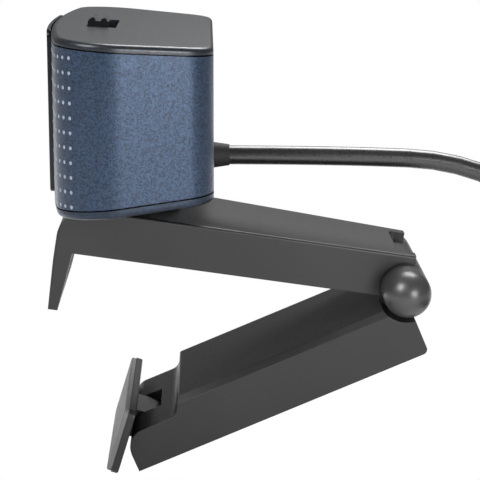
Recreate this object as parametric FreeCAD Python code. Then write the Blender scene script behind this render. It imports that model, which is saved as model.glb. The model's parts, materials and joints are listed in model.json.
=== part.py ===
import FreeCAD, Part
import math
import os

V = FreeCAD.Vector

# Clip webcam with a USB cable. Millimetres. X is across the webcam, -Y is the way the lens
# looks, Z is up. The origin is the middle of the rubber seat that rests on a monitor's top edge.

# Camera body
BODY_WIDTH = 70.4
BODY_FRONT_Y = -13.45
BODY_BACK_Y = 15.3
FRONT_BULGE_RADIUS = 190.0
FRONT_CORNER_RADIUS = 9.0
BACK_CORNER_RADIUS = 6.0
SIDE_TAPER_DEG = 16.8
BODY_TOP_Z = 42.0
BODY_BOTTOM_Z = 11.0
TOP_SLOPE_DEG = 4.2
BOTTOM_SLOPE_DEG = 5.0
BODY_EDGE_RADIUS = 0.9
WALL = 1.3
TOP_COVER_EDGE = 1.5
BOTTOM_COVER_EDGE = 1.7
SEAM_GAP = 0.25
LEDGE_THICKNESS = 0.9
LEDGE_DEPTH = 1.8
SLIP = 0.1

# Bezel, window and shutter
BEZEL_HALF_WIDTH = 14.5
BEZEL_PROUD = 0.8
BEZEL_THICKNESS = 2.5
BEZEL_CORNER_RADIUS = 1.5
BEZEL_TOP_DROP = 0.4
LENS_Z = 26.5
WINDOW_RADIUS = 7.4
WINDOW_THICKNESS = 1.0
WINDOW_RECESS = 0.3
WINDOW_LEDGE = 1.2
BLADE_THICKNESS = 0.5
BLADE_GAP = 0.3
BLADE_WIDTH = 8.0
BLADE_HEIGHT = 9.0
SHUTTER_TRAVEL = 7.8
STEM_WIDTH = 3.0
SLOT_LENGTH = 15.0
SLOT_FRONT_Y = -7.2
SLOT_WIDTH = 5.2
KNOB_LENGTH = 6.8
KNOB_WIDTH = 3.7
KNOB_PROUD = 1.0
KNOB_END_GAP = 0.2
RIDGE_RADIUS = 0.6
RIDGE_INSET = 0.8
CARRIAGE_THICKNESS = 0.8
RAIL_WIDTH = 1.0

# Optics and electronics
BARREL_RADIUS = 4.2
BARREL_LENGTH = 4.8
BARREL_TO_BOARD = 2.3
BARREL_WALL = 0.9
GLASS_THICKNESS = 1.6
HOLDER_WIDTH = 11.0
HOLDER_LENGTH = 5.6
BOARD_THICKNESS = 1.0
BOARD_WIDTH = 54.0
BOARD_EDGE_GAP = 3.2
SENSOR_WIDTH = 6.4
SENSOR_THICKNESS = 0.8
FILTER_WIDTH = 7.4
FILTER_THICKNESS = 0.4
MICROPHONE_X = 19.0
MICROPHONE_SIZE = 3.0
MICROPHONE_THICKNESS = 1.0
LIGHT_X = -10.8
LIGHT_Z = 20.0
LIGHT_RADIUS = 0.7
LIGHT_CHIP_WIDTH = 1.6
LIGHT_CHIP_HEIGHT = 1.2
LIGHT_CHIP_THICKNESS = 0.7
LIGHT_RECESS = 0.5
HEADER_X = -15.0
HEADER_WIDTH = 7.0
HEADER_HEIGHT = 3.6
HEADER_DEPTH = 4.2

# Screws
BODY_SCREW_X = 24.0
BODY_SCREW_Y = 5.0
BOSS_RADIUS = 2.6
SCREW_RADIUS = 1.0
SCREW_HEAD_RADIUS = 1.9
SCREW_HEAD_HEIGHT = 1.0
BODY_SCREW_LENGTH = 9.0
BODY_SCREW_RECESS = 0.3
BOARD_SCREW_X = 25.0
BOARD_SCREW_RISE = 8.5
BOARD_BOSS_RADIUS = 2.2
BOARD_SCREW_LENGTH = 4.0
STANDOFF_BAR = 1.2
STANDOFF_SKIN = 0.5

# Clip arm: measured in its own frame, along and square to the monitor's top edge
ARM_SLOPE_DEG = 9.4
ARM_BACK = 51.3
ARM_THICKNESS = 8.15
ARM_FRONT_WIDTH = 34.0
ARM_BACK_WIDTH = 23.0
ARM_WALL = 2.0
ARM_NOSE_RADIUS = 5.4
SEAT_PAD_THICKNESS = 1.0
SEAT_PAD_PROUD = 0.5
SEAT_PAD_LENGTH = 20.0
SEAT_PAD_WIDTH = 25.0
UNDER_PLATE = 1.5
ARM_POCKET_FRONT = -7.4
ARM_POCKET_BACK = 41.0
LIP_FRONT = -13.3
LIP_ROOT = 3.2
LIP_TIP = 1.7
LIP_DEPTH = 10.7
LIP_LEAN = 1.1
LIP_PAD_THICKNESS = 0.6
LIP_PAD_DROP = 1.2
LIP_SHOULDER = 1.5
LIP_PAD_WIDTH = 26.0
LIP_PAD_HEIGHT = 7.6
NOTCH_DEPTH = 3.2
NOTCH_CORNER_RADIUS = 1.2
HORN_WIDTH = 3.0
ARM_BACK_RISE = 3.4
ARM_EDGE_RADIUS = 0.5
PLATE_SCREW_U = 34.0
PLATE_SCREW_HEAD = 0.8
PLATE_SCREW_SKIN = 0.5

# Neck
NECK_U = 0.8
NECK_RISE = 8.9
DISC_RADIUS = 7.0
DISC_THICKNESS = 1.1
DISC_GAP = 0.1
POST_WIDTH = 8.0
POST_DEPTH = 4.8
EYE_RADIUS = 3.2
TILT_PIN_RADIUS = 1.25
EAR_THICKNESS = 3.0
EAR_GAP = 0.4
STUB_RADIUS = 2.5
RUNNING_GAP = 0.06
WASHER_RADIUS = 4.4
WASHER_THICKNESS = 0.5
SWIVEL_SCREW_RADIUS = 1.1
SWIVEL_SCREW_DEPTH = 5.0
SLOT_FRONT_ROOM = 1.0
SLOT_BACK_ROOM = 2.6

# Hinge between the arm and the leg
HINGE_U = 50.2
HINGE_W = 2.63
BARREL_KNUCKLE_RADIUS = 4.3
HINGE_PIN_RADIUS = 2.0
LEG_KNUCKLE_WIDTH = 14.4
HINGE_WASHER = 0.4
HINGE_SIDE_GAP = 0.05
KNUCKLE_ROOM = 0.3
CAP_GAP = 0.2
BALL_X = 16.4

# Leg: measured from the hinge axis, forwards along it and square to it
LEG_SLOPE_DEG = 23.0
LEG_WIDTH = 32.0
LEG_TOP_DROP = 1.65
LEG_BEVEL_WIDTH = 1.35
LEG_BEVEL_DROP = 1.1
LEG_HEIGHT = 10.1
LEG_BACK = 0.5
LEG_STEP_A = 45.6
LEG_STEP_DROP = 3.05
LEG_STEP_RADIUS = 2.2
LEG_STEP_LEAN = 1.5
LEG_STEP_TOP_RADIUS = 0.6
LEG_END_A = 57.6
LEG_HINGE_ROOM = 5.4
LEG_POCKET_BACK = 8.5
LEG_POCKET_FRONT = 43.5
LEG_WALL = 1.9
LEG_CORNER_RADIUS = 1.0
FOOT_EDGE_RADIUS = 0.35
BEZEL_EDGE_RADIUS = 0.3

# Foot
FOOT_PIVOT_A = 54.0
FOOT_PIVOT_DROP = 8.2
FOOT_END_RADIUS = 3.55
FOOT_LEAN_DEG = -17.1
FOOT_WIDTH = 36.0
FOOT_HEIGHT = 12.4
FOOT_CORNER_RADIUS = 1.4
FOOT_LOW = 6.25
FOOT_REACH = 4.2
FOOT_PLATE_THICKNESS = 1.3
FOOT_PAD_THICKNESS = 0.9
FOOT_PAD_INSET = 0.15
FOOT_PIN_RADIUS = 1.2
FOOT_EYE_RADIUS = 2.7
FOOT_SLOT_HALF = 5.3
FOOT_SLOT_A = 50.5
FOOT_SIDE_GAP = 0.3
FOOT_PIN_REACH = 12.0
FOOT_PIN_SINK = 0.5

# Cable
CABLE_RADIUS = 1.75
CABLE_Z = 17.0
CABLE_START_Y = 12.6
GROMMET_RADIUS = 2.4
GROMMET_TIP_RADIUS = 1.95
GROMMET_REACH = 3.0
GROMMET_FLANGE_RADIUS = 3.6
GROMMET_FLANGE = 1.0
COIL_Y = 112.0
COIL_RADIUS = 21.0
BUNDLE_WIDTH = 14.0
BUNDLE_HEIGHT = 9.6
BUNDLE_CORNER = 3.4
FLOOR_Z = -39.15
TIE_THICKNESS = 0.5
TIE_WIDTH = 5.0
RUN_POINTS = [(0, CABLE_START_Y, CABLE_Z), (0, 37.0, 16.9), (0, 66.0, 15.6), (5.0, 88.0, -2.0),
              (15.0, 104.0, -21.5), (21.0, 118.0, -29.6)]
TAIL_POINTS = [(-21.0, 114.0, -30.6), (-20.2, 103.0, -29.0), (-14.2, 92.6, -27.3),
               (-3.0, 87.2, -25.8), (9.0, 86.6, -25.2)]

# Plug
PLUG_BODY_LENGTH = 17.0
PLUG_BODY_WIDTH = 15.0
PLUG_BODY_HEIGHT = 7.4
PLUG_CORNER = 1.8
PLUG_SHELL_LENGTH = 12.0
PLUG_SHELL_WIDTH = 12.0
PLUG_SHELL_HEIGHT = 4.5
PLUG_SHELL_WALL = 0.35
PLUG_TONGUE_THICKNESS = 1.9
PLUG_RELIEF_LENGTH = 8.0
PLUG_RELIEF_RADIUS = 2.9

# Lengths that only have to reach past the whole body, and a point in a path where a bend starts
FAR = 200.0
MARGIN = 10.0
BEND_SHARE = 0.45

# Values that follow from those above
ARM_LOW_W = SEAT_PAD_PROUD
ARM_TOP_W = ARM_LOW_W + ARM_THICKNESS
TILT_W = ARM_TOP_W + NECK_RISE
ARM_ROT = FreeCAD.Rotation(V(1, 0, 0), -ARM_SLOPE_DEG)
LEG_ROT = FreeCAD.Rotation(V(1, 0, 0), LEG_SLOPE_DEG)
FOOT_ROT = FreeCAD.Rotation(V(1, 0, 0), FOOT_LEAN_DEG)
HINGE = ARM_ROT.multVec(V(0, HINGE_U, HINGE_W))
TILT = ARM_ROT.multVec(V(0, NECK_U, TILT_W))
FOOT_PIVOT = HINGE + LEG_ROT.multVec(V(0, -FOOT_PIVOT_A, -FOOT_PIVOT_DROP))
BEZEL_FACE_Y = BODY_FRONT_Y - BEZEL_PROUD
BEZEL_BACK_Y = BEZEL_FACE_Y + BEZEL_THICKNESS
BLADE_Y = BEZEL_BACK_Y + BLADE_GAP
BARREL_FRONT_Y = BLADE_Y + BLADE_THICKNESS + BLADE_GAP
KNOB_X = SLOT_LENGTH / 2 - KNOB_END_GAP - KNOB_LENGTH / 2
BLADE_X = SHUTTER_TRAVEL
BOARD_Y = BARREL_FRONT_Y + BARREL_LENGTH + BARREL_TO_BOARD
KNUCKLE_HALF = LEG_KNUCKLE_WIDTH / 2
ARM_KNUCKLE_X = KNUCKLE_HALF + HINGE_WASHER + 2 * HINGE_SIDE_GAP
CAP_X = ARM_BACK_WIDTH / 2 + CAP_GAP
COIL_Z = FLOOR_Z + TIE_THICKNESS + BUNDLE_HEIGHT / 2


def box(x0, x1, y0, y1, z0, z1):
    return Part.makeBox(x1 - x0, y1 - y0, z1 - z0, V(x0, y0, z0))


def rod(centre, axis, radius, length):
    """A cylinder that starts at a point and runs along an axis."""
    return Part.makeCylinder(radius, length, V(*centre), V(*axis))


def rod_x(y, z, radius, x0, x1):
    return rod((x0, y, z), (1, 0, 0), radius, x1 - x0)


def rod_y(x, z, radius, y0, y1):
    return rod((x, y0, z), (0, 1, 0), radius, y1 - y0)


def prism_x(points, x0, x1):
    """A polygon of (y, z) points, swept along X."""
    loop = [V(x0, y, z) for y, z in points]
    return Part.Face(Part.makePolygon(loop + loop[:1])).extrude(V(x1 - x0, 0, 0))


def prism_z(points, z0, z1):
    """A polygon of (x, y) points, swept along Z."""
    loop = [V(x, y, z0) for x, y in points]
    return Part.Face(Part.makePolygon(loop + loop[:1])).extrude(V(0, 0, z1 - z0))


def edges_along_x(shape, y, z, near=0.05):
    """The edges along X that pass a (y, z) point."""
    found = []
    for edge in shape.Edges:
        size = edge.BoundBox
        mid = edge.CenterOfMass
        if size.XLength > 1 and size.YLength < near and size.ZLength < near:
            if abs(mid.y - y) < near and abs(mid.z - z) < near:
                found.append(edge)
    return found


def in_arm(shape):
    moved = shape.copy()
    moved.Placement = FreeCAD.Placement(V(0, 0, 0), ARM_ROT).multiply(moved.Placement)
    return moved


def in_leg(shape):
    moved = shape.copy()
    moved.Placement = FreeCAD.Placement(HINGE, LEG_ROT).multiply(moved.Placement)
    return moved


def in_foot(shape):
    moved = shape.copy()
    moved.Placement = FreeCAD.Placement(FOOT_PIVOT, FOOT_ROT).multiply(moved.Placement)
    return moved


def on_top(shape):
    """Moves a shape from the flat frame of the top cover, whose outside is z = 0."""
    moved = shape.copy()
    turn = FreeCAD.Rotation(V(1, 0, 0), -TOP_SLOPE_DEG)
    place = FreeCAD.Placement(V(0, BODY_FRONT_Y, BODY_TOP_Z), turn)
    moved.Placement = place.multiply(moved.Placement)
    return moved


def top_z(y):
    return BODY_TOP_Z - (y - BODY_FRONT_Y) * math.tan(math.radians(TOP_SLOPE_DEG))


def bottom_z(y):
    return BODY_BOTTOM_Z + (y - BODY_FRONT_Y) * math.tan(math.radians(BOTTOM_SLOPE_DEG))


def plan_half(inset):
    """The right half of the body's outline seen from above: its arcs' points and centres."""
    taper = math.radians(SIDE_TAPER_DEG)
    normal = (math.cos(taper), math.sin(taper))
    bulge = FRONT_BULGE_RADIUS - inset
    corner = FRONT_CORNER_RADIUS - inset
    back = BACK_CORNER_RADIUS - inset
    front_y = BODY_FRONT_Y + inset
    back_y = BODY_BACK_Y - inset
    corner_x = BODY_WIDTH / 2 - FRONT_CORNER_RADIUS
    corner_y = front_y + bulge - math.sqrt((bulge - corner) ** 2 - corner_x ** 2)
    side = corner_x * normal[0] + corner_y * normal[1] + corner
    heart_y = back_y - back
    heart_x = (side - back - heart_y * normal[1]) / normal[0]
    way = V(corner_x, corner_y - front_y - bulge, 0).normalize()
    corner_heart = V(corner_x, corner_y, 0)
    back_heart = V(heart_x, heart_y, 0)
    out = V(normal[0], normal[1], 0)
    return {
        "apex": V(0, front_y, 0),
        "front": V(0, front_y + bulge, 0) + way * bulge,
        "corner_mid": corner_heart + (way + out).normalize() * corner,
        "side_front": corner_heart + out * corner,
        "side_back": back_heart + out * back,
        "back_mid": back_heart + (out + V(0, 1, 0)).normalize() * back,
        "back": back_heart + V(0, back, 0),
    }


def plan_face(inset):
    right = plan_half(inset)
    left = {name: V(-point.x, point.y, 0) for name, point in right.items()}
    edges = [
        Part.Arc(left["front"], right["apex"], right["front"]),
        Part.Arc(right["front"], right["corner_mid"], right["side_front"]),
        Part.LineSegment(right["side_front"], right["side_back"]),
        Part.Arc(right["side_back"], right["back_mid"], right["back"]),
        Part.LineSegment(right["back"], left["back"]),
        Part.Arc(left["back"], left["back_mid"], left["side_back"]),
        Part.LineSegment(left["side_back"], left["side_front"]),
        Part.Arc(left["side_front"], left["corner_mid"], left["front"]),
    ]
    return Part.Face(Part.Wire([edge.toShape() for edge in edges]))


def layer(inset, under_top, over_bottom):
    """The body's outline between a plane below its top and a plane above its bottom."""
    y0 = BODY_FRONT_Y - MARGIN
    y1 = BODY_BACK_Y + MARGIN
    wedge = prism_x([(y0, top_z(y0) - under_top), (y1, top_z(y1) - under_top),
                     (y1, bottom_z(y1) + over_bottom), (y0, bottom_z(y0) + over_bottom)],
                    -BODY_WIDTH, BODY_WIDTH)
    return plan_face(inset).extrude(V(0, 0, BODY_TOP_Z + MARGIN)).common(wedge)


def body_form():
    """The whole camera body's outside, with its top and bottom edges rounded."""
    block = layer(0, 0, 0)
    rims = []
    for edge in block.Edges:
        mid = edge.CenterOfMass
        ends = [vertex.Point for vertex in edge.Vertexes]
        on_roof = all(abs(end.z - top_z(end.y)) < 0.01 for end in ends)
        on_base = all(abs(end.z - bottom_z(end.y)) < 0.01 for end in ends)
        if (on_roof or on_base) and mid.z > 0:
            rims.append(edge)
    return block.makeFillet(BODY_EDGE_RADIUS, rims)


def above(drop):
    """Everything above a plane that lies a distance below the body's top."""
    y0 = BODY_FRONT_Y - MARGIN
    y1 = BODY_BACK_Y + MARGIN
    return prism_x([(y0, top_z(y0) - drop), (y1, top_z(y1) - drop), (y1, FAR), (y0, FAR)],
                   -BODY_WIDTH, BODY_WIDTH)


def below(rise):
    """Everything below a plane that lies a distance above the body's bottom."""
    y0 = BODY_FRONT_Y - MARGIN
    y1 = BODY_BACK_Y + MARGIN
    return prism_x([(y0, bottom_z(y0) + rise), (y1, bottom_z(y1) + rise), (y1, -FAR), (y0, -FAR)],
                   -BODY_WIDTH, BODY_WIDTH)


def column(inset):
    return plan_face(inset).extrude(V(0, 0, BODY_TOP_Z + MARGIN))


def rim(planes):
    """A locating rim that stands inside the wrap, left out behind the bezel."""
    inner = WALL + SLIP
    ring = column(inner).cut(column(inner + LEDGE_THICKNESS)).common(planes)
    return ring.cut(box(-BEZEL_HALF_WIDTH - 1, BEZEL_HALF_WIDTH + 1, -FAR, 0, 0, FAR))


def wrap_shell():
    """The painted band between the two covers, open at the front for the bezel."""
    ring = layer(0, TOP_COVER_EDGE, BOTTOM_COVER_EDGE).cut(column(WALL))
    front = box(-BEZEL_HALF_WIDTH - SLIP, BEZEL_HALF_WIDTH + SLIP, -FAR, 0, 0, FAR)
    return ring.cut(front).cut(rod_y(0, CABLE_Z, GROMMET_RADIUS, 0, FAR))


def boss(x, y, radius, z0, z1):
    return rod((x, y, z0), (0, 0, 1), radius, z1 - z0)


def top_cover():
    roof = BODY.common(above(TOP_COVER_EDGE - SEAM_GAP))
    seat = column(WALL + SLIP).common(above(TOP_COVER_EDGE)).common(BODY)
    cover = roof.fuse(seat)
    drop = above(TOP_COVER_EDGE + LEDGE_DEPTH).cut(above(TOP_COVER_EDGE))
    cover = cover.fuse(rim(drop))
    for side in (-1, 1):
        x = side * BODY_SCREW_X
        low = bottom_z(BODY_SCREW_Y + BOSS_RADIUS) + BOTTOM_COVER_EDGE + SLIP
        post = boss(x, BODY_SCREW_Y, BOSS_RADIUS, low, top_z(BODY_SCREW_Y) - 1)
        cover = cover.fuse(post).cut(boss(x, BODY_SCREW_Y, SCREW_RADIUS, 0, BODY_SCREW_END_Z))
    slot = box(-SLOT_LENGTH / 2, SLOT_LENGTH / 2, SLOT_FRONT_Y, SLOT_FRONT_Y + SLOT_WIDTH, LENS_Z, FAR)
    return cover.cut(slot).removeSplitter()


def bottom_cover():
    floor = BODY.common(below(BOTTOM_COVER_EDGE - SEAM_GAP))
    seat = column(WALL + SLIP).common(below(BOTTOM_COVER_EDGE)).common(BODY)
    rise = below(BOTTOM_COVER_EDGE + LEDGE_DEPTH).cut(below(BOTTOM_COVER_EDGE))
    cover = floor.fuse(seat).fuse(rim(rise))
    cover = cover.cut(rod_y(0, CABLE_Z, GROMMET_FLANGE_RADIUS + SLIP, 0, BODY_BACK_Y - WALL))
    cover = cover.cut(rod_y(0, CABLE_Z, GROMMET_RADIUS, 0, FAR))
    inner = POST_WIDTH / 2 + EAR_GAP
    for side in (-1, 1):
        x = side * (inner + EAR_THICKNESS / 2)
        half = EAR_THICKNESS / 2
        ear = rod_x(TILT.y, TILT.z, EYE_RADIUS, x - half, x + half)
        foot = box(x - half, x + half, TILT.y - EYE_RADIUS, TILT.y + EYE_RADIUS,
                   bottom_z(TILT.y) + 1, TILT.z)
        cover = cover.fuse(ear.fuse(foot))
    slot = box(-inner, inner, TILT.y - POST_DEPTH / 2 - EYE_RADIUS / 2 - SLOT_FRONT_ROOM,
               TILT.y + POST_DEPTH / 2 + SLOT_BACK_ROOM, 0, TILT.z)
    cover = cover.cut(slot).cut(rod_x(TILT.y, TILT.z, TILT_PIN_RADIUS, -FAR / 2, FAR / 2))
    for side in (-1, 1):
        x = side * BODY_SCREW_X
        cover = cover.cut(boss(x, BODY_SCREW_Y, SCREW_RADIUS + SLIP, 0, FAR))
        cover = cover.cut(boss(x, BODY_SCREW_Y, SCREW_HEAD_RADIUS + SLIP, 0, BODY_SCREW_HEAD_Z))
    return cover.removeSplitter()


def bezel_front_edge(edge):
    return edge.BoundBox.YMax < BEZEL_FACE_Y + BEZEL_PROUD and edge.CenterOfMass.y < BEZEL_BACK_Y - 1


def front_bezel():
    """The raised lens panel, with a window seat and a light hole. Its face laps the top cover."""
    half = BEZEL_HALF_WIDTH
    low = bottom_z(BEZEL_FACE_Y) + BOTTOM_COVER_EDGE + SLIP
    high = top_z(BEZEL_FACE_Y) - BEZEL_TOP_DROP
    frame = box(-half, half, -FAR / 2, BEZEL_BACK_Y, low, high)
    corners = [edge for edge in frame.Edges if edge.BoundBox.YLength > BEZEL_THICKNESS]
    frame = frame.makeFillet(BEZEL_CORNER_RADIUS, corners)
    panel = layer(-BEZEL_PROUD, BEZEL_TOP_DROP, BOTTOM_COVER_EDGE + SLIP).common(frame)
    panel = round_rims(panel, BEZEL_EDGE_RADIUS, bezel_front_edge)
    panel = panel.cut(column(-SLIP).common(above(TOP_COVER_EDGE + SLIP)))
    hole = rod_y(0, LENS_Z, WINDOW_RADIUS - WINDOW_LEDGE, -FAR / 2, 0)
    seat = rod_y(0, LENS_Z, WINDOW_RADIUS, -FAR / 2, WINDOW_Y + WINDOW_THICKNESS)
    light = rod_y(LIGHT_X, LIGHT_Z, LIGHT_RADIUS, -FAR / 2, 0)
    return panel.cut(hole).cut(seat).cut(light)


def lens_window():
    return rod_y(0, LENS_Z, WINDOW_RADIUS, WINDOW_Y, WINDOW_Y + WINDOW_THICKNESS)


def shutter_knob():
    """The slider that a finger moves, its carriage under the cover and the stem to the blade."""
    front = SLOT_FRONT_Y - BODY_FRONT_Y + KNOB_END_GAP
    half = KNOB_LENGTH / 2
    under = -TOP_COVER_EDGE - 2 * SLIP
    knob = box(KNOB_X - half, KNOB_X + half, front, front + KNOB_WIDTH, under, KNOB_PROUD)
    for y in (front + RIDGE_INSET, front + KNOB_WIDTH - RIDGE_INSET):
        knob = knob.fuse(rod_x(y, KNOB_PROUD, RIDGE_RADIUS, KNOB_X - half, KNOB_X + half))
    reach = BLADE_Y - BODY_FRONT_Y
    plate = box(KNOB_X - half, KNOB_X + half + STEM_WIDTH, reach, front + KNOB_WIDTH + RAIL_WIDTH,
                under - CARRIAGE_THICKNESS, under)
    stem = box(BLADE_X - STEM_WIDTH / 2, BLADE_X + STEM_WIDTH / 2, BLADE_Y,
               BLADE_Y + BLADE_THICKNESS, LENS_Z + BLADE_HEIGHT / 2, STEM_TOP_Z)
    return on_top(knob.fuse(plate)).fuse(stem).removeSplitter()


def shutter_blade():
    half = BLADE_WIDTH / 2
    tall = BLADE_HEIGHT / 2
    return box(BLADE_X - half, BLADE_X + half, BLADE_Y, BLADE_Y + BLADE_THICKNESS,
               LENS_Z - tall, LENS_Z + tall)


def lens_barrel():
    tube = rod_y(0, LENS_Z, BARREL_RADIUS, BARREL_FRONT_Y, BARREL_FRONT_Y + BARREL_LENGTH)
    bore = rod_y(0, LENS_Z, BARREL_RADIUS - BARREL_WALL, BARREL_FRONT_Y - 1, FAR)
    return tube.cut(bore)


def lens_glass():
    """Two glass elements inside the barrel."""
    radius = BARREL_RADIUS - BARREL_WALL
    front = BARREL_FRONT_Y + GLASS_THICKNESS / 4
    back = BARREL_FRONT_Y + BARREL_LENGTH - GLASS_THICKNESS
    first = rod_y(0, LENS_Z, radius, front, front + GLASS_THICKNESS)
    second = rod_y(0, LENS_Z, radius, back, back + GLASS_THICKNESS)
    return Part.makeCompound([first, second])


def lens_holder():
    half = HOLDER_WIDTH / 2
    block = box(-half, half, BOARD_Y - HOLDER_LENGTH, BOARD_Y, LENS_Z - half, LENS_Z + half)
    block = block.cut(rod_y(0, LENS_Z, BARREL_RADIUS, -FAR / 2, BARREL_BACK_Y))
    inner = FILTER_WIDTH / 2
    return block.cut(box(-inner, inner, BARREL_BACK_Y - 1, BOARD_Y, LENS_Z - inner, LENS_Z + inner))


def infrared_filter():
    half = FILTER_WIDTH / 2
    return box(-half, half, BARREL_BACK_Y, BARREL_BACK_Y + FILTER_THICKNESS,
               LENS_Z - half, LENS_Z + half)


def image_sensor():
    half = SENSOR_WIDTH / 2
    return box(-half, half, BOARD_Y - SENSOR_THICKNESS, BOARD_Y, LENS_Z - half, LENS_Z + half)


def main_board():
    half = BOARD_WIDTH / 2
    board = box(-half, half, BOARD_Y, BOARD_Y + BOARD_THICKNESS, BOARD_LOW_Z, BOARD_HIGH_Z)
    for x, z in board_screw_places():
        board = board.cut(rod_y(x, z, SCREW_RADIUS + SLIP, -FAR / 2, FAR / 2))
    return board


def board_screw_places():
    return [(side * BOARD_SCREW_X, LENS_Z + rise * BOARD_SCREW_RISE)
            for side in (-1, 1) for rise in (-1, 1)]


def board_standoffs():
    """Posts behind the board that the board screws bite into, moulded on one bar each side."""
    parts = []
    y0 = BOARD_Y + BOARD_THICKNESS
    for side in (-1, 1):
        x = side * BOARD_SCREW_X
        y1 = y0 + BOARD_SCREW_LENGTH
        bar = box(x - BOARD_BOSS_RADIUS, x + BOARD_BOSS_RADIUS, y0, y0 + STANDOFF_BAR,
                  LENS_Z - BOARD_SCREW_RISE, LENS_Z + BOARD_SCREW_RISE)
        for rise in (-1, 1):
            z = LENS_Z + rise * BOARD_SCREW_RISE
            bar = bar.fuse(rod_y(x, z, BOARD_BOSS_RADIUS, y0, y1))
            bar = bar.cut(rod_y(x, z, SCREW_RADIUS, y0 - 1, y1 - STANDOFF_SKIN))
        parts.append(bar.cut(boss(x, BODY_SCREW_Y, BOSS_RADIUS + SLIP, 0, FAR)))
    return Part.makeCompound(parts)


def board_screws():
    screws = []
    for x, z in board_screw_places():
        head = rod_y(x, z, SCREW_HEAD_RADIUS, BOARD_Y - SCREW_HEAD_HEIGHT, BOARD_Y)
        shank = rod_y(x, z, SCREW_RADIUS, BOARD_Y, BOARD_Y + BOARD_SCREW_LENGTH)
        screws.append(head.fuse(shank).removeSplitter())
    return Part.makeCompound(screws)


def microphones():
    half = MICROPHONE_SIZE / 2
    return Part.makeCompound([
        box(x - half, x + half, BOARD_Y - MICROPHONE_THICKNESS, BOARD_Y, LENS_Z - half,
            LENS_Z + half)
        for x in (-MICROPHONE_X, MICROPHONE_X)])


def status_light():
    wide = LIGHT_CHIP_WIDTH / 2
    tall = LIGHT_CHIP_HEIGHT / 2
    return box(LIGHT_X - wide, LIGHT_X + wide, BOARD_Y - LIGHT_CHIP_THICKNESS, BOARD_Y,
               LIGHT_Z - tall, LIGHT_Z + tall)


def light_pipe():
    return rod_y(LIGHT_X, LIGHT_Z, LIGHT_RADIUS, BEZEL_FACE_Y + LIGHT_RECESS,
                 BOARD_Y - LIGHT_CHIP_THICKNESS)


def cable_header():
    half = HEADER_WIDTH / 2
    y0 = BOARD_Y + BOARD_THICKNESS
    return box(HEADER_X - half, HEADER_X + half, y0, y0 + HEADER_DEPTH, CABLE_Z, CABLE_Z + HEADER_HEIGHT)


def body_screws():
    """Two long screws that hold the covers together from below."""
    screws = []
    for side in (-1, 1):
        x = side * BODY_SCREW_X
        head = boss(x, BODY_SCREW_Y, SCREW_HEAD_RADIUS, BODY_SCREW_HEAD_Z - SCREW_HEAD_HEIGHT,
                    BODY_SCREW_HEAD_Z)
        shank = boss(x, BODY_SCREW_Y, SCREW_RADIUS, BODY_SCREW_HEAD_Z, BODY_SCREW_END_Z)
        screws.append(head.fuse(shank).removeSplitter())
    return Part.makeCompound(screws)


def tilt_pin():
    reach = POST_WIDTH / 2 + EAR_GAP + EAR_THICKNESS
    return rod_x(TILT.y, TILT.z, TILT_PIN_RADIUS, -reach, reach)


def cable_grommet():
    wall_in = BODY_BACK_Y - WALL - SLIP
    flange = rod_y(0, CABLE_Z, GROMMET_FLANGE_RADIUS, wall_in - GROMMET_FLANGE, wall_in)
    neck = rod_y(0, CABLE_Z, GROMMET_RADIUS, wall_in, BODY_BACK_Y)
    tail = Part.makeCone(GROMMET_RADIUS, GROMMET_TIP_RADIUS, GROMMET_REACH,
                         V(0, BODY_BACK_Y, CABLE_Z), V(0, 1, 0))
    whole = flange.fuse(neck).fuse(tail)
    return whole.cut(rod_y(0, CABLE_Z, CABLE_RADIUS, 0, FAR)).removeSplitter()


def swivel_post():
    """The neck: a disc on the arm, a post with an eye for the tilt pin, and a stub below."""
    post = box(-POST_WIDTH / 2, POST_WIDTH / 2, NECK_U - POST_DEPTH / 2, NECK_U + POST_DEPTH / 2,
               ARM_TOP_W + DISC_GAP, TILT_W)
    eye = rod_x(NECK_U, TILT_W, EYE_RADIUS, -POST_WIDTH / 2, POST_WIDTH / 2)
    disc = rod((0, NECK_U, ARM_TOP_W + DISC_GAP), (0, 0, 1), DISC_RADIUS, DISC_THICKNESS)
    stub = rod((0, NECK_U, WASHER_TOP_W), (0, 0, 1), STUB_RADIUS, ARM_TOP_W + 1 - WASHER_TOP_W)
    whole = post.fuse(eye).fuse(disc).fuse(stub)
    bore = rod_x(NECK_U, TILT_W, TILT_PIN_RADIUS + RUNNING_GAP, -POST_WIDTH, POST_WIDTH)
    thread = rod((0, NECK_U, 0), (0, 0, 1), SWIVEL_SCREW_RADIUS, WASHER_TOP_W + SWIVEL_SCREW_DEPTH)
    return in_arm(whole.cut(bore).cut(thread).removeSplitter())


def swivel_washer():
    low = WASHER_TOP_W - WASHER_THICKNESS
    disc = rod((0, NECK_U, low), (0, 0, 1), WASHER_RADIUS, WASHER_THICKNESS)
    return in_arm(disc.cut(rod((0, NECK_U, 0), (0, 0, 1), SWIVEL_SCREW_RADIUS, FAR)))


def swivel_screw():
    low = WASHER_TOP_W - WASHER_THICKNESS
    head = rod((0, NECK_U, low - SCREW_HEAD_HEIGHT), (0, 0, 1), SCREW_HEAD_RADIUS, SCREW_HEAD_HEIGHT)
    shank = rod((0, NECK_U, low), (0, 0, 1), SWIVEL_SCREW_RADIUS,
                SWIVEL_SCREW_DEPTH + WASHER_THICKNESS)
    return in_arm(head.fuse(shank).removeSplitter())


def arm_half_width(u):
    share = (u - LIP_FRONT) / (ARM_BACK - LIP_FRONT)
    return (ARM_FRONT_WIDTH + share * (ARM_BACK_WIDTH - ARM_FRONT_WIDTH)) / 2


def arm_outline(inset, front, back):
    """The arm's tapered outline from above, in its own frame."""
    near = arm_half_width(front) - inset
    far = arm_half_width(back) - inset
    return [(-near, front), (near, front), (far, back), (-far, back)]


def round_rims(shape, radius, chosen):
    return shape.makeFillet(radius, [edge for edge in shape.Edges if chosen(edge)])


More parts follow.
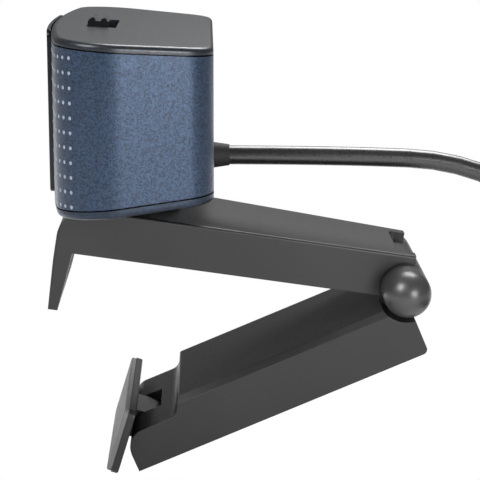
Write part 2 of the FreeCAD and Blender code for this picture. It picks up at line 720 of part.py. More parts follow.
def arm_blank():
    """The arm's tapered outline as a block, rounded along its top sides and front corners."""
    low = ARM_LOW_W - LIP_DEPTH
    block = prism_z(arm_outline(0, LIP_FRONT, ARM_BACK), low, ARM_TOP_W)
    return round_rims(block, ARM_EDGE_RADIUS, arm_side_edge)


def arm_side_edge(edge):
    """Whether a block's edge runs along the top of one side or down one front corner."""
    size = edge.BoundBox
    on_top = size.ZMin > ARM_TOP_W - 0.1 and size.YLength > ARM_THICKNESS
    in_front = size.YMax < LIP_FRONT + 0.1 and size.ZLength > LIP_DEPTH
    return on_top or in_front


def lip_pad_block():
    root = LIP_FRONT + LIP_ROOT
    lean = LIP_LEAN / LIP_DEPTH
    z1 = ARM_LOW_W - LIP_PAD_DROP
    z0 = z1 - LIP_PAD_HEIGHT
    y1 = root + (z1 - ARM_LOW_W) * lean
    y0 = root + (z0 - ARM_LOW_W) * lean
    t = LIP_PAD_THICKNESS
    half = LIP_PAD_WIDTH / 2
    return prism_x([(y0 - t, z0), (y1 - t, z1), (y1, z1), (y0, z0)], -half, half)


def arm_bar():
    """The arm and its lip from the side, within the tapered outline, with the notch behind."""
    root = LIP_FRONT + LIP_ROOT
    tip = root - LIP_LEAN
    knuckle_u = HINGE_U - BARREL_KNUCKLE_RADIUS
    profile = [(LIP_FRONT, ARM_TOP_W), (LIP_FRONT, ARM_LOW_W - LIP_SHOULDER),
               (tip - LIP_TIP, ARM_LOW_W - LIP_DEPTH), (tip, ARM_LOW_W - LIP_DEPTH),
               (root, ARM_LOW_W), (knuckle_u, ARM_LOW_W), (knuckle_u + 1, HINGE_W),
               (ARM_BACK, HINGE_W + ARM_BACK_RISE), (ARM_BACK, ARM_TOP_W)]
    half = ARM_FRONT_WIDTH / 2
    bar = prism_x(profile, -half, half)
    bar = bar.makeFillet(ARM_NOSE_RADIUS, edges_along_x(bar, LIP_FRONT, ARM_TOP_W))
    mouth = ARM_BACK_WIDTH / 2 - HORN_WIDTH
    notch = box(-mouth, mouth, ARM_BACK - NOTCH_DEPTH, FAR, HINGE_W, FAR)
    inner = [edge for edge in notch.Edges
             if edge.BoundBox.ZLength > 1 and edge.CenterOfMass.y < ARM_BACK]
    return bar.common(arm_blank()).cut(notch.makeFillet(NOTCH_CORNER_RADIUS, inner))


def clip_arm():
    """The arm with its front lip, a pocket below for the neck screw, and the hinge knuckles."""
    bar = arm_bar().cut(lip_pad_block())
    for side in (-1, 1):
        x0, x1 = sorted((side * ARM_KNUCKLE_X, side * ARM_BACK_WIDTH / 2))
        bar = bar.fuse(rod_x(HINGE_U, HINGE_W, BARREL_KNUCKLE_RADIUS, x0, x1))
        x0, x1 = sorted((side * ARM_BACK_WIDTH / 2, side * ARM_FRONT_WIDTH))
        bar = bar.cut(rod_x(HINGE_U, HINGE_W, BARREL_KNUCKLE_RADIUS + KNUCKLE_ROOM, x0, x1))
    room = rod_x(HINGE_U, HINGE_W, BARREL_KNUCKLE_RADIUS + KNUCKLE_ROOM,
                 -ARM_KNUCKLE_X, ARM_KNUCKLE_X)
    under = box(-ARM_KNUCKLE_X, ARM_KNUCKLE_X, HINGE_U - BARREL_KNUCKLE_RADIUS, FAR, -FAR, HINGE_W)
    bar = bar.cut(room).cut(under)
    bar = bar.cut(rod_x(HINGE_U, HINGE_W, HINGE_PIN_RADIUS, -FAR, FAR))
    pocket = prism_z(arm_outline(ARM_WALL, ARM_POCKET_FRONT, ARM_POCKET_BACK),
                     -FAR / 2, ARM_TOP_W - ARM_WALL)
    bar = bar.cut(pocket)
    post = rod((0, PLATE_SCREW_U, PLATE_TOP_W), (0, 0, 1), BOSS_RADIUS, ARM_TOP_W - PLATE_TOP_W - 1)
    bar = bar.fuse(post).cut(rod((0, PLATE_SCREW_U, 0), (0, 0, 1), SCREW_RADIUS, PLATE_SCREW_END_W))
    hole = rod((0, NECK_U, 0), (0, 0, 1), STUB_RADIUS + RUNNING_GAP, FAR)
    return in_arm(bar.cut(hole).removeSplitter())


def arm_under_plate():
    """Closes the arm's pocket from below, with a shallow seat for the rubber pad."""
    plate = prism_z(arm_outline(ARM_WALL + SLIP, ARM_POCKET_FRONT + SLIP, ARM_POCKET_BACK - SLIP),
                    ARM_LOW_W, PLATE_TOP_W)
    seat = seat_pad_block()
    screw = rod((0, PLATE_SCREW_U, 0), (0, 0, 1), SCREW_RADIUS + SLIP, FAR)
    head = rod((0, PLATE_SCREW_U, 0), (0, 0, 1), SCREW_HEAD_RADIUS + SLIP, PLATE_SEAT_W)
    return in_arm(plate.cut(seat).cut(screw).cut(head))


def seat_pad_block():
    y0 = ARM_POCKET_FRONT + 2 * SLIP
    return box(-SEAT_PAD_WIDTH / 2, SEAT_PAD_WIDTH / 2, y0, y0 + SEAT_PAD_LENGTH, 0,
               SEAT_PAD_THICKNESS)


def seat_pad():
    return in_arm(seat_pad_block())


def plate_screw():
    head = rod((0, PLATE_SCREW_U, PLATE_SEAT_W - PLATE_SCREW_HEAD), (0, 0, 1), SCREW_HEAD_RADIUS,
               PLATE_SCREW_HEAD)
    shank = rod((0, PLATE_SCREW_U, PLATE_SEAT_W), (0, 0, 1), SCREW_RADIUS,
                PLATE_SCREW_END_W - PLATE_SEAT_W)
    return in_arm(head.fuse(shank).removeSplitter())


def lip_pad():
    """A thin rubber pad let into the inside of the lip."""
    return in_arm(lip_pad_block())


def hinge_cap_solid(side):
    """A round end that carries the barrel on past the arm and closes it with a half ball."""
    x0, x1 = sorted((side * CAP_X, side * BALL_X))
    barrel = rod_x(0, 0, BARREL_KNUCKLE_RADIUS, x0, x1)
    ball = Part.makeSphere(BARREL_KNUCKLE_RADIUS, V(side * BALL_X, 0, 0))
    x0, x1 = sorted((side * BALL_X, side * FAR))
    return barrel.fuse(ball.common(box(x0, x1, -FAR, FAR, -FAR, FAR))).removeSplitter()


def at_hinge(shape):
    moved = shape.copy()
    moved.translate(V(0, HINGE_U, HINGE_W))
    return in_arm(moved)


def hinge_pin():
    """The long pin with a ball end, pressed through the arm's knuckles."""
    shaft = rod_x(0, 0, HINGE_PIN_RADIUS, -CAP_X - 2, CAP_X)
    return at_hinge(shaft.fuse(hinge_cap_solid(1)).removeSplitter())


def hinge_cap():
    cap = hinge_cap_solid(-1).cut(rod_x(0, 0, HINGE_PIN_RADIUS, -CAP_X - 2, CAP_X))
    return at_hinge(cap)


def hinge_washers():
    rings = []
    for side in (-1, 1):
        inner = KNUCKLE_HALF + HINGE_SIDE_GAP
        x0, x1 = sorted((side * inner, side * (inner + HINGE_WASHER)))
        ring = rod_x(0, 0, BARREL_KNUCKLE_RADIUS - 0.3, x0, x1)
        rings.append(ring.cut(rod_x(0, 0, HINGE_PIN_RADIUS + RUNNING_GAP, -FAR, FAR)))
    return at_hinge(Part.makeCompound(rings))


def leg_profile(low):
    top = -LEG_TOP_DROP
    step = top - LEG_STEP_DROP
    return [(-LEG_BACK, low), (-LEG_BACK, top), (-LEG_STEP_A, top), (-LEG_STEP_A - LEG_STEP_LEAN, step),
            (-LEG_END_A, step), (-LEG_END_A, low)]


def leg_block():
    """The leg's outside: a bar with a step down to the foot, rounded ends and bevelled sides."""
    half = LEG_WIDTH / 2
    low = -LEG_TOP_DROP - LEG_HEIGHT
    step = -LEG_TOP_DROP - LEG_STEP_DROP
    block = prism_x(leg_profile(low), -half, half)
    block = block.makeFillet(LEG_CORNER_RADIUS, edges_along_x(block, -LEG_BACK, low))
    block = block.makeFillet(LEG_STEP_RADIUS,
                             edges_along_x(block, -LEG_STEP_A - LEG_STEP_LEAN, step))
    block = block.makeFillet(LEG_STEP_TOP_RADIUS, edges_along_x(block, -LEG_STEP_A, -LEG_TOP_DROP))
    round_end = rod_x(-FOOT_PIVOT_A, -FOOT_PIVOT_DROP, FOOT_END_RADIUS, -half, half)
    keep = box(-half, half, -FOOT_PIVOT_A, FAR, -FAR, FAR)
    lower = box(-half, half, -FAR, FAR, -FAR, -FOOT_PIVOT_DROP)
    block = block.common(keep.fuse(lower).fuse(round_end))
    for side in (-1, 1):
        edge = side * half
        bevel = [(edge - side * LEG_BEVEL_WIDTH, -LEG_TOP_DROP), (edge, -LEG_TOP_DROP - LEG_BEVEL_DROP),
                 (edge + side, -LEG_TOP_DROP - LEG_BEVEL_DROP), (edge + side, 1), (edge, 1),
                 (edge - side * LEG_BEVEL_WIDTH, 1)]
        loop = [V(x, -LEG_END_A, z) for x, z in bevel]
        cutter = Part.Face(Part.makePolygon(loop + loop[:1])).extrude(V(0, FAR, 0))
        block = block.cut(cutter)
    return block


def leg_shell():
    """The lower leg: a closed-topped moulding with bevelled top edges and a foot slot."""
    block = leg_block()
    middle = box(-KNUCKLE_HALF, KNUCKLE_HALF, -FAR, FAR, -FAR, FAR)
    room = rod_x(0, 0, LEG_HINGE_ROOM, -FAR, FAR).cut(middle)
    block = block.cut(room)
    knuckle = rod_x(0, 0, BARREL_KNUCKLE_RADIUS, -KNUCKLE_HALF, KNUCKLE_HALF)
    block = block.fuse(knuckle)
    block = block.cut(rod_x(0, 0, HINGE_PIN_RADIUS + RUNNING_GAP, -FAR, FAR))
    inner = LEG_WIDTH / 2 - LEG_WALL
    block = block.cut(box(-inner, inner, -LEG_POCKET_FRONT, -LEG_POCKET_BACK, -FAR,
                          -LEG_TOP_DROP - LEG_WALL))
    block = block.cut(box(-FOOT_SLOT_HALF, FOOT_SLOT_HALF, -FAR, -FOOT_SLOT_A, -FAR, FAR))
    bore = rod_x(-FOOT_PIVOT_A, -FOOT_PIVOT_DROP, FOOT_PIN_RADIUS, -FAR, FOOT_PIN_REACH)
    return in_leg(block.cut(bore).removeSplitter())


def leg_under_plate():
    low = -LEG_TOP_DROP - LEG_HEIGHT
    inner = LEG_WIDTH / 2 - LEG_WALL - SLIP
    return in_leg(box(-inner, inner, -LEG_POCKET_FRONT + SLIP, -LEG_POCKET_BACK - SLIP,
                      low, low + UNDER_PLATE))


def foot_pin():
    """The pin that the foot turns on, pushed in from one side of the leg."""
    pin = rod_x(-FOOT_PIVOT_A, -FOOT_PIVOT_DROP, FOOT_PIN_RADIUS,
                FOOT_PIN_SINK - LEG_WIDTH / 2, FOOT_PIN_REACH)
    return in_leg(pin)


def foot_corner(edge):
    """Whether an edge runs through the foot's thickness."""
    return edge.BoundBox.YLength > FOOT_PAD_THICKNESS / 2


def foot_plate():
    """The swivelling foot's rigid plate with its tongue and eye."""
    half = FOOT_WIDTH / 2
    plate = box(-half, half, -FOOT_REACH - FOOT_PLATE_THICKNESS, -FOOT_REACH, -FOOT_LOW,
                FOOT_HEIGHT - FOOT_LOW)
    wide = FOOT_SLOT_HALF - FOOT_SIDE_GAP
    outer = -FOOT_REACH - FOOT_PLATE_THICKNESS
    plate = round_rims(plate, FOOT_CORNER_RADIUS, foot_corner)
    plate = round_rims(plate, FOOT_EDGE_RADIUS, lambda edge: edge.BoundBox.YMin > outer + 0.1)
    eye = rod_x(0, 0, FOOT_EYE_RADIUS, -wide, wide)
    tongue = box(-wide, wide, -FOOT_REACH - 0.1, 0, -FOOT_EYE_RADIUS, FOOT_EYE_RADIUS)
    bore = rod_x(0, 0, FOOT_PIN_RADIUS + RUNNING_GAP, -FAR, FAR)
    return in_foot(plate.fuse(eye).fuse(tongue).cut(bore).removeSplitter())


def foot_pad():
    half = FOOT_WIDTH / 2 - FOOT_PAD_INSET
    front = -FOOT_REACH - FOOT_PLATE_THICKNESS
    pad = box(-half, half, front - FOOT_PAD_THICKNESS, front, FOOT_PAD_INSET - FOOT_LOW,
              FOOT_HEIGHT - FOOT_LOW - FOOT_PAD_INSET)
    pad = round_rims(pad, FOOT_CORNER_RADIUS, foot_corner)
    return in_foot(round_rims(pad, FOOT_EDGE_RADIUS, lambda edge: edge.BoundBox.YMax < front - 0.1))


def tube(points, radius, name):
    """A round cord along straight runs joined by tangent arcs."""
    spots = [V(*point) for point in points]
    edges = []
    start = spots[0]
    radii = []
    for before, corner, after in zip(spots, spots[1:], spots[2:]):
        back = before - corner
        ahead = after - corner
        trim = BEND_SHARE * min(back.Length, ahead.Length)
        back.normalize()
        ahead.normalize()
        turn = math.pi - back.getAngle(ahead)
        bend = trim / math.tan(turn / 2)
        radii.append(bend)
        first = corner + back * trim
        last = corner + ahead * trim
        inward = (back + ahead).normalize()
        middle = corner + inward * (bend / math.cos(turn / 2) - bend)
        edges.append(Part.LineSegment(start, first).toShape())
        edges.append(Part.Arc(first, middle, last).toShape())
        start = last
    edges.append(Part.LineSegment(start, spots[-1]).toShape())
    path = Part.Wire(edges)
    way = (spots[1] - spots[0]).normalize()
    ring = Part.Wire([Part.makeCircle(radius, spots[0], way)])
    solid = path.makePipeShell([ring], True, False)
    print(name, "radii", [round(value, 1) for value in radii], "length", round(path.Length, 1),
          "volume share", round(solid.Volume / (math.pi * radius ** 2 * path.Length), 4))
    return solid


def usb_cable_run():
    return tube(RUN_POINTS, CABLE_RADIUS, "usb_cable_run").cut(usb_cable_coil())


def usb_cable_tail():
    return tube(TAIL_POINTS, CABLE_RADIUS, "usb_cable_tail").cut(usb_cable_coil())


def bundle_section(grow):
    """The wound turns' outline in the plane that cuts them on the coil's +X side."""
    wide = BUNDLE_WIDTH / 2 + grow
    tall = BUNDLE_HEIGHT / 2 + grow
    corner = BUNDLE_CORNER + grow
    slab = box(COIL_RADIUS - wide, COIL_RADIUS + wide, COIL_Y, COIL_Y + 1, COIL_Z - tall, COIL_Z + tall)
    slab = slab.makeFillet(corner, [edge for edge in slab.Edges if edge.BoundBox.YLength > 0.9])
    return min(slab.Faces, key=lambda face: face.CenterOfMass.y)


def usb_cable_coil():
    """The put-away length of the cable, as the outer shape of its wound turns."""
    return bundle_section(0).revolve(V(0, COIL_Y, 0), V(0, 0, 1), 360)


def cable_tie():
    """A band round the bundle, on the coil's far side."""
    turn = math.degrees(TIE_WIDTH / COIL_RADIUS)
    ring = bundle_section(TIE_THICKNESS).cut(bundle_section(0)).Faces[0]
    band = ring.revolve(V(0, COIL_Y, 0), V(0, 0, 1), turn)
    band.rotate(V(0, COIL_Y, 0), V(0, 0, 1), 90 - turn / 2)
    return band


def at_plug(shape):
    """Places a shape whose +Y runs from the cable's end towards the plug's mouth."""
    end = V(*TAIL_POINTS[-1])
    way = end - V(*TAIL_POINTS[-2])
    moved = shape.copy()
    moved.Placement = FreeCAD.Placement(end, FreeCAD.Rotation(V(0, 1, 0), way))
    return moved


def plug_relief():
    return at_plug(Part.makeCone(GROMMET_TIP_RADIUS, PLUG_RELIEF_RADIUS, PLUG_RELIEF_LENGTH,
                                 V(0, 0, 0), V(0, 1, 0)))


def plug_body():
    y0 = PLUG_RELIEF_LENGTH
    wide = PLUG_BODY_WIDTH / 2
    tall = PLUG_BODY_HEIGHT / 2
    block = box(-wide, wide, y0, y0 + PLUG_BODY_LENGTH, -tall, tall)
    long_edges = [edge for edge in block.Edges if edge.BoundBox.YLength > 1]
    return at_plug(block.makeFillet(PLUG_CORNER, long_edges))


def plug_shell():
    y0 = PLUG_RELIEF_LENGTH + PLUG_BODY_LENGTH
    wide = PLUG_SHELL_WIDTH / 2
    tall = PLUG_SHELL_HEIGHT / 2
    wall = PLUG_SHELL_WALL
    outer = box(-wide, wide, y0, y0 + PLUG_SHELL_LENGTH, -tall, tall)
    inner = box(wall - wide, wide - wall, y0, y0 + PLUG_SHELL_LENGTH, wall - tall, tall - wall)
    return at_plug(outer.cut(inner))


def plug_tongue():
    y0 = PLUG_RELIEF_LENGTH + PLUG_BODY_LENGTH
    wide = PLUG_SHELL_WIDTH / 2 - PLUG_SHELL_WALL
    low = PLUG_SHELL_WALL - PLUG_SHELL_HEIGHT / 2
    return at_plug(box(-wide, wide, y0, y0 + PLUG_SHELL_LENGTH - 1, low, low + PLUG_TONGUE_THICKNESS))


WINDOW_Y = BEZEL_FACE_Y + WINDOW_RECESS
BARREL_BACK_Y = BARREL_FRONT_Y + BARREL_LENGTH
STEM_TOP_Z = top_z(BLADE_Y) - TOP_COVER_EDGE - 2 * SLIP - CARRIAGE_THICKNESS / 2
BOARD_LOW_Z = bottom_z(BOARD_Y) + BOARD_EDGE_GAP
BOARD_HIGH_Z = top_z(BOARD_Y) - BOARD_EDGE_GAP
BODY_SCREW_HEAD_Z = bottom_z(BODY_SCREW_Y) + SCREW_HEAD_HEIGHT + BODY_SCREW_RECESS
BODY_SCREW_END_Z = BODY_SCREW_HEAD_Z + BODY_SCREW_LENGTH
PLATE_TOP_W = ARM_LOW_W + UNDER_PLATE
PLATE_SEAT_W = PLATE_TOP_W - PLATE_SCREW_SKIN
PLATE_SCREW_END_W = ARM_TOP_W - ARM_WALL - PLATE_SCREW_SKIN
WASHER_TOP_W = ARM_TOP_W - ARM_WALL - DISC_GAP
BODY = body_form()

NODES = [wrap_shell, top_cover, bottom_cover, front_bezel, lens_window, shutter_knob,
         shutter_blade, lens_barrel, lens_glass, lens_holder, infrared_filter, image_sensor,
         main_board, board_standoffs, board_screws, microphones, status_light, light_pipe,
         cable_header, body_screws, tilt_pin, cable_grommet, swivel_post, swivel_washer,
         swivel_screw, clip_arm, arm_under_plate, seat_pad, plate_screw, lip_pad, hinge_pin,
         hinge_cap, hinge_washers, leg_shell, leg_under_plate, foot_pin, foot_plate, foot_pad,
         usb_cable_run, usb_cable_coil, usb_cable_tail, cable_tie, plug_relief, plug_body,
         plug_shell, plug_tongue]

os.makedirs("parts", exist_ok=True)
for node in NODES:
    shape = node()
    size = shape.BoundBox
    print(node.__name__, "solids", len(shape.Solids), "valid", shape.isValid(), "volume",
          round(shape.Volume, 1), "z", round(size.ZMin, 2), round(size.ZMax, 2))
    shape.exportStep("parts/" + node.__name__ + ".step")
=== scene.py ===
import bpy
import bmesh
import json
import math
from mathutils import Matrix, Vector


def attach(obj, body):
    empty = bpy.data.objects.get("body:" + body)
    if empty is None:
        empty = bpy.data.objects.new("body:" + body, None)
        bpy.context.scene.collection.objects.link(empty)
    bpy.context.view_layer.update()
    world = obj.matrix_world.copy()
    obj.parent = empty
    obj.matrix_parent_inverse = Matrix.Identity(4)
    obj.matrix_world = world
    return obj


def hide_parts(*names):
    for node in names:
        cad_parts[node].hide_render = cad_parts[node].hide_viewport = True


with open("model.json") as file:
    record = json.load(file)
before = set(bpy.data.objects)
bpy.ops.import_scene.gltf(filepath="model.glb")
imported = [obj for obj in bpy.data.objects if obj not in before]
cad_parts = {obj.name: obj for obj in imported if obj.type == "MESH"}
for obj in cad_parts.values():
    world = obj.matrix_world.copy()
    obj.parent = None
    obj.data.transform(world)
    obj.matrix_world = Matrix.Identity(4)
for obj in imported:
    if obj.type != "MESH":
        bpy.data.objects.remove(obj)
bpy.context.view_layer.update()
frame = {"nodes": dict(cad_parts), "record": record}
MM = 0.001
record = frame["record"]


def linear(value):
    value = value / 255
    return value / 12.92 if value <= 0.04045 else ((value + 0.055) / 1.055) ** 2.4


def colour(red, green, blue):
    return (linear(red), linear(green), linear(blue), 1)


# ---------------------------------------------------------------- camera
EYE = Vector((325.5, 14.0, 71.93)) * MM
FOCAL_PIXELS = 1781.0
FRAME_PIXELS = 480
SENSOR = 36.0
RIGHT = Vector((0.0191957, 0.9998157, 0))
AHEAD = Vector((-0.9767880, 0.0187536, -0.2133860))
UP = RIGHT.cross(AHEAD)

camera_data = bpy.data.cameras.new("camera")
camera_data.sensor_width = SENSOR
camera_data.lens = FOCAL_PIXELS * SENSOR / FRAME_PIXELS
camera_data.clip_start = 0.01
camera = bpy.data.objects.new("camera", camera_data)
bpy.context.collection.objects.link(camera)
camera.matrix_world = Matrix((
    (RIGHT.x, UP.x, -AHEAD.x, EYE.x),
    (RIGHT.y, UP.y, -AHEAD.y, EYE.y),
    (RIGHT.z, UP.z, -AHEAD.z, EYE.z),
    (0, 0, 0, 1)))
bpy.context.scene.camera = camera

# ---------------------------------------------------------------- cable
CABLE_DIAMETER = 3.5
COIL_Y = 112.0
COIL_RADIUS = 21.0
FLOOR_Z = -39.15
COIL_Z = FLOOR_Z + 0.5 + 4.8
RUN = [(0, 12.6, 17.0), (0, 37.0, 16.9), (0, 66.0, 15.6), (5.0, 88.0, -2.0), (15.0, 104.0, -21.5)]
TAIL = [(-20.2, 103.0, -29.0), (-14.2, 92.6, -27.3), (-3.0, 87.2, -25.8), (9.0, 86.6, -25.2)]
PITCH = 3.5
RISE = 3.05
# Each turn's place in the bundle: out from the mean radius, and up.
PLACES = [(PITCH, RISE), (1.5 * PITCH, 0), (0.5 * PITCH, 0), (PITCH, -RISE), (0, -RISE),
          (-PITCH, -RISE), (-1.5 * PITCH, 0), (-0.5 * PITCH, 0), (-PITCH, RISE), (0, RISE)]
STEPS = 20


def coil_points():
    """The wound turns. Each turn moves to the next place in a part of the ring of its own."""
    points = []
    turns = len(PLACES)
    first = 1
    last = turns * STEPS - STEPS // 2
    for step in range(first, last):
        angle = 360 * step / STEPS
        turn = int(angle // 360)
        within = angle % 360
        start = 360 * (turns - 1 - turn) / turns
        share = min(max((within - start) / (360 / turns), 0), 1)
        share = share * share * (3 - 2 * share)
        here = PLACES[turn]
        there = PLACES[min(turn + 1, turns - 1)]
        out = here[0] + share * (there[0] - here[0])
        up = here[1] + share * (there[1] - here[1])
        radius = COIL_RADIUS + out
        turned = math.radians(angle)
        points.append((radius * math.cos(turned), COIL_Y + radius * math.sin(turned), COIL_Z + up))
    return points


def curve_object(name, points, radius, resolution=6, sides=5):
    data = bpy.data.curves.new(name, "CURVE")
    data.dimensions = "3D"
    data.bevel_depth = 1
    data.bevel_resolution = sides
    data.resolution_u = resolution
    data.use_fill_caps = True
    spline = data.splines.new("NURBS")
    spline.points.add(len(points) - 1)
    for point, place in zip(spline.points, points):
        point.co = (place[0] * MM, place[1] * MM, place[2] * MM, 1)
        point.radius = radius * MM
    spline.order_u = 3
    spline.use_endpoint_u = True
    made = bpy.data.objects.new(name, data)
    bpy.context.collection.objects.link(made)
    return made


cable = curve_object("usb_cable", RUN + coil_points() + TAIL, CABLE_DIAMETER / 2)
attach(cable, "camera")
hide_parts("usb_cable_run", "usb_cable_coil", "usb_cable_tail")

# ---------------------------------------------------------------- materials


def node_material(name):
    made = bpy.data.materials.new(name)
    made.use_nodes = True
    tree = made.node_tree
    return made, tree, tree.nodes["Principled BSDF"]


def add(tree, kind, **values):
    node = tree.nodes.new(kind)
    for key, value in values.items():
        if key in node.inputs:
            node.inputs[key].default_value = value
        else:
            setattr(node, key, value)
    return node


def grain(tree, scale, detail=3.0):
    """A noise texture in object space."""
    place = add(tree, "ShaderNodeTexCoord")
    noise = add(tree, "ShaderNodeTexNoise", Scale=scale, Detail=detail)
    tree.links.new(place.outputs["Object"], noise.inputs["Vector"])
    return noise


def spread(tree, source, low, high):
    """Maps a factor onto a range."""
    ranged = add(tree, "ShaderNodeMapRange")
    ranged.inputs["From Min"].default_value = 0.3
    ranged.inputs["From Max"].default_value = 0.7
    ranged.inputs["To Min"].default_value = low
    ranged.inputs["To Max"].default_value = high
    tree.links.new(source, ranged.inputs["Value"])
    return ranged.outputs["Result"]


def blend_colours(tree, source, first, second):
    mixed = add(tree, "ShaderNodeMix", data_type="RGBA")
    mixed.inputs["A"].default_value = first
    mixed.inputs["B"].default_value = second
    tree.links.new(source, mixed.inputs["Factor"])
    return mixed.outputs["Result"]


def bump(tree, shader, height, strength, distance, edge=0.0):
    """Fine relief, with CAD edges softened by a small bevel."""
    node = add(tree, "ShaderNodeBump", Strength=strength, Distance=distance)
    tree.links.new(height, node.inputs["Height"])
    if edge:
        soft = add(tree, "ShaderNodeBevel", samples=4, Radius=edge)
        tree.links.new(soft.outputs["Normal"], node.inputs["Normal"])
    tree.links.new(node.outputs["Normal"], shader.inputs["Normal"])


def plastic(name, first, second, rough, grain_scale=2500, relief=0.12, edge=0.0002, coat=0.0,
            specular=0.5):
    """Moulded plastic or rubber: slight colour variation, uneven gloss and fine texture."""
    made, tree, shader = node_material(name)
    wide = grain(tree, 60)
    fine = grain(tree, grain_scale, 4.0)
    factor = spread(tree, wide.outputs["Fac"], 0, 1)
    tree.links.new(blend_colours(tree, factor, first, second), shader.inputs["Base Color"])
    tree.links.new(spread(tree, fine.outputs["Fac"], rough - 0.05, rough + 0.05),
                   shader.inputs["Roughness"])
    shader.inputs["Coat Weight"].default_value = coat
    shader.inputs["Specular IOR Level"].default_value = specular
    bump(tree, shader, fine.outputs["Fac"], relief, 0.00003, edge)
    return made


def metal(name, tint, rough):
    made, tree, shader = node_material(name)
    fine = grain(tree, 900, 2.0)
    shader.inputs["Base Color"].default_value = tint
    shader.inputs["Metallic"].default_value = 1
    tree.links.new(spread(tree, fine.outputs["Fac"], rough - 0.06, rough + 0.06),
                   shader.inputs["Roughness"])
    bump(tree, shader, fine.outputs["Fac"], 0.08, 0.00002, 0.0001)
    return made


def flake_paint(name, dark, light, rough, metallic, sparkle):
    """Metallic paint: a fine cell pattern of flakes that differ in tone and tilt."""
    made, tree, shader = node_material(name)
    place = add(tree, "ShaderNodeTexCoord")
    cells = add(tree, "ShaderNodeTexVoronoi", Scale=4200)
    tree.links.new(place.outputs["Object"], cells.inputs["Vector"])
    split = add(tree, "ShaderNodeSeparateColor")
    tree.links.new(cells.outputs["Color"], split.inputs["Color"])
    tone = add(tree, "ShaderNodeMapRange")
    tone.inputs["From Min"].default_value = 0.0
    tone.inputs["From Max"].default_value = 1.0
    tone.inputs["To Min"].default_value = 0.5 - sparkle / 2
    tone.inputs["To Max"].default_value = 0.5 + sparkle / 2
    tree.links.new(split.outputs["Red"], tone.inputs["Value"])
    tree.links.new(blend_colours(tree, tone.outputs["Result"], dark, light),
                   shader.inputs["Base Color"])
    shader.inputs["Metallic"].default_value = metallic
    tree.links.new(spread(tree, split.outputs["Green"], rough - 0.06, rough + 0.06),
                   shader.inputs["Roughness"])
    shader.inputs["Coat Weight"].default_value = 0.25
    shader.inputs["Coat Roughness"].default_value = 0.3
    bump(tree, shader, split.outputs["Blue"], 0.25, 0.00001, 0.0001)
    return made


def clear(name, tint, rough, alpha):
    made, tree, shader = node_material(name)
    fine = grain(tree, 400)
    shader.inputs["Base Color"].default_value = tint
    shader.inputs["Alpha"].default_value = alpha
    shader.inputs["Coat Weight"].default_value = 1
    shader.inputs["Coat Roughness"].default_value = 0.02
    tree.links.new(spread(tree, fine.outputs["Fac"], rough, rough + 0.03), shader.inputs["Roughness"])
    return made


MATERIALS = {
    "wrap_paint": flake_paint("wrap_paint", colour(16, 27, 44), colour(52, 72, 98), 0.42, 0.6, 0.8),
    "top_cover": flake_paint("top_cover", colour(18, 22, 28), colour(32, 38, 46), 0.36, 0.3, 0.5),
    "bottom_cover": flake_paint("bottom_cover", colour(12, 20, 32), colour(38, 54, 74), 0.42, 0.6, 0.7),
    "bezel_gloss": plastic("bezel_gloss", colour(7, 10, 15), colour(10, 14, 20), 0.2, 300, 0.02, 0.0002, 0.1, 0.3),
    "window_glass": clear("window_glass", colour(8, 9, 12), 0.02, 0.45),
    "slider_black": plastic("slider_black", colour(12, 12, 14), colour(18, 18, 20), 0.15, 300, 0.02, 0.0002, 0.5),
    "black_plastic": plastic("black_plastic", colour(22, 22, 24), colour(30, 30, 32), 0.45),
    "lens_glass": clear("lens_glass", colour(40, 30, 80), 0.01, 0.5),
    "component": plastic("component", colour(30, 30, 33), colour(45, 45, 48), 0.4),
    "board": plastic("board", colour(14, 62, 34), colour(20, 84, 46), 0.35, 900),
    "steel": metal("steel", colour(185, 186, 190), 0.3),
    "hinge_black": plastic("hinge_black", colour(44, 44, 45), colour(52, 52, 53), 0.36, 800, 0.03, 0.0001, 0, 0.7),
    "rubber": plastic("rubber", colour(24, 24, 25), colour(32, 32, 33), 0.7, 1800, 0.3),
    "foot_rubber": plastic("foot_rubber", colour(92, 92, 93), colour(104, 104, 105), 0.6, 1800, 0.2),
    "clip_plastic": plastic("clip_plastic", colour(24, 24, 24), colour(30, 30, 30), 0.38, 2200, 0.08),
    "cable_jacket": plastic("cable_jacket", colour(24, 24, 25), colour(30, 30, 31), 0.3, 1500, 0.05, 0, 0, 0.9),
    "plug_metal": metal("plug_metal", colour(205, 205, 208), 0.22),
}
slots = {part["node"]: part["material_slot"] for part in record["subparts"]}
for name, thing in frame["nodes"].items():
    thing.data.materials.clear()
    thing.data.materials.append(MATERIALS[slots[name]])
cable.data.materials.append(MATERIALS["cable_jacket"])

# ---------------------------------------------------------------- microphone dots
BODY_FRONT_Y = -13.45
BULGE = 190.0
CORNER = 9.0
HALF_WIDTH = 35.2
DOT_ROWS = 11
DOT_TOP_Z = 38.7
DOT_PITCH = 2.5
DOT_STEP = 1.65
DOT_RADIUS = 0.33
DOT_PROUD = 0.06


def front_spot(distance):
    """A point and its outward direction at a distance round the front, from the crease inwards."""
    hub_x = HALF_WIDTH - CORNER
    hub_y = BODY_FRONT_Y + BULGE - math.sqrt((BULGE - CORNER) ** 2 - hub_x ** 2)
    front_turn = math.atan2(hub_x, BODY_FRONT_Y + BULGE - hub_y)
    corner_turn = math.radians(90 - 42) - front_turn
    if distance < CORNER * corner_turn:
        turn = front_turn + corner_turn - distance / CORNER
        return hub_x + CORNER * math.sin(turn), hub_y - CORNER * math.cos(turn), turn
    turn = front_turn - (distance - CORNER * corner_turn) / BULGE
    return BULGE * math.sin(turn), BODY_FRONT_Y + BULGE - BULGE * math.cos(turn), turn


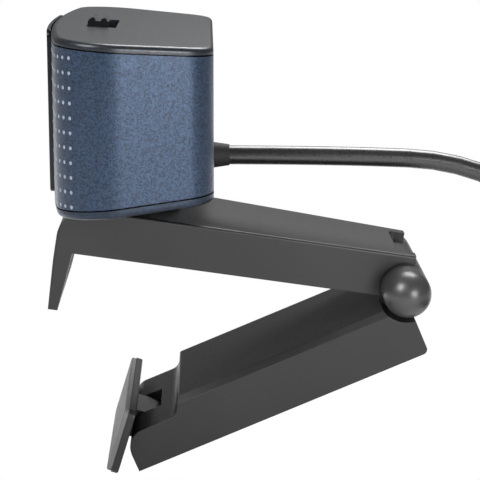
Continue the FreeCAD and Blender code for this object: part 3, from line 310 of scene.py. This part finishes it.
def make_dots(name, side):
    mesh = bmesh.new()
    for column in range(10):
        for row in range(DOT_ROWS):
            away = column * DOT_STEP
            x, y, turn = front_spot(away)
            if x < 15.6:
                continue
            z = DOT_TOP_Z - row * DOT_PITCH
            out = Vector((side * math.sin(turn), -math.cos(turn), 0))
            place = Matrix.Translation(Vector((side * x, y, z)) * MM)
            tip = out.to_track_quat("Z", "Y").to_matrix().to_4x4()
            flat = Matrix.Diagonal((1, 1, DOT_PROUD / DOT_RADIUS, 1))
            bmesh.ops.create_uvsphere(mesh, u_segments=12, v_segments=6, radius=DOT_RADIUS * MM,
                                      matrix=place @ tip @ flat)
    data = bpy.data.meshes.new(name)
    mesh.to_mesh(data)
    mesh.free()
    made = bpy.data.objects.new(name, data)
    bpy.context.collection.objects.link(made)
    for face in data.polygons:
        face.use_smooth = True
    data.materials.append(dot_material)
    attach(made, "camera")
    return made


dot_material = plastic("dot_paint", colour(120, 132, 146), colour(140, 150, 162), 0.4, 900, 0.02, 0)
make_dots("mic_dots_right", 1)
make_dots("mic_dots_left", -1)

# ---------------------------------------------------------------- floor, world, lights
floor_data = bpy.data.meshes.new("floor")
floor_mesh = bmesh.new()
bmesh.ops.create_grid(floor_mesh, x_segments=1, y_segments=1, size=3)
floor_mesh.to_mesh(floor_data)
floor_mesh.free()
floor = bpy.data.objects.new("floor", floor_data)
bpy.context.collection.objects.link(floor)
floor.location = (0, 0, FLOOR_Z * MM - 0.0001)
floor_paint, floor_tree, floor_shader = node_material("floor")
floor_shader.inputs["Base Color"].default_value = (0.9, 0.9, 0.9, 1)
floor_shader.inputs["Roughness"].default_value = 0.9
path = add(floor_tree, "ShaderNodeLightPath")
glow = add(floor_tree, "ShaderNodeEmission", Strength=1.0)
seen = add(floor_tree, "ShaderNodeMixShader")
floor_tree.links.new(path.outputs["Is Camera Ray"], seen.inputs[0])
floor_tree.links.new(floor_shader.outputs[0], seen.inputs[1])
floor_tree.links.new(glow.outputs[0], seen.inputs[2])
floor_tree.links.new(seen.outputs[0], floor_tree.nodes["Material Output"].inputs["Surface"])
floor_data.materials.append(floor_paint)

world = bpy.data.worlds.new("world")
bpy.context.scene.world = world
world.use_nodes = True
sky = world.node_tree
back = sky.nodes["Background"]
back.inputs["Color"].default_value = (1, 1, 1, 1)
path = add(sky, "ShaderNodeLightPath")
strength = add(sky, "ShaderNodeMapRange")
strength.inputs["To Min"].default_value = 0.2
strength.inputs["To Max"].default_value = 1.0
sky.links.new(path.outputs["Is Camera Ray"], strength.inputs["Value"])
sky.links.new(strength.outputs["Result"], back.inputs["Strength"])


def lamp(name, place, aim, size, power):
    data = bpy.data.lights.new(name, "AREA")
    data.size = size
    data.energy = power
    made = bpy.data.objects.new(name, data)
    bpy.context.collection.objects.link(made)
    made.location = place
    made.rotation_euler = (Vector(aim) - Vector(place)).to_track_quat("-Z", "Y").to_euler()
    return made


MIDDLE = (0, 0.015, 0.01)
lamp("key", (0.35, -0.35, 0.45), MIDDLE, 0.3, 4.0)
lamp("side", (0.45, 0.28, 0.1), MIDDLE, 0.18, 1.6)
lamp("over", (-0.35, 0.15, 0.5), MIDDLE, 0.35, 4.0)

scene = bpy.context.scene
scene.view_settings.view_transform = "Standard"
